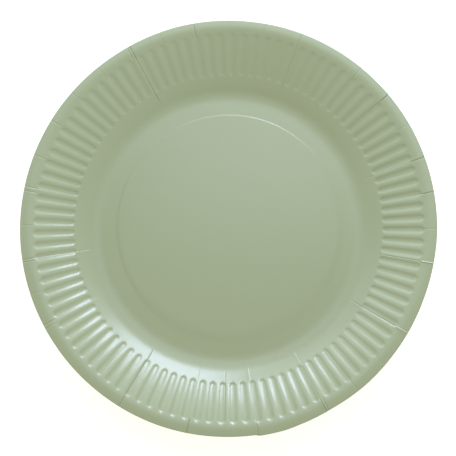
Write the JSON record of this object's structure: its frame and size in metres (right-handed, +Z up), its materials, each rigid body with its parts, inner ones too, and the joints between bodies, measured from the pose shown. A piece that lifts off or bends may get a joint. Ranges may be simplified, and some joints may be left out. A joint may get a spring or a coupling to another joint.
{
  "type": "paper plate",
  "caption": "Round disposable plate pressed from coated board, with a flat floor, a fluted sloping wall and a plain, nearly level rim.",
  "frame": {"origin": "centre of the plate, on the surface that it stands on", "axes": "+Z is up, along the plate's axis of symmetry, out of the side that holds the food"},
  "size_m": [0.23, 0.23, 0.0187],
  "materials": {
    "coated_board": "satin sage-green coating"
  },
  "bodies": {
    "root": {"plate": "coated_board"}
  },
  "joints": []
}
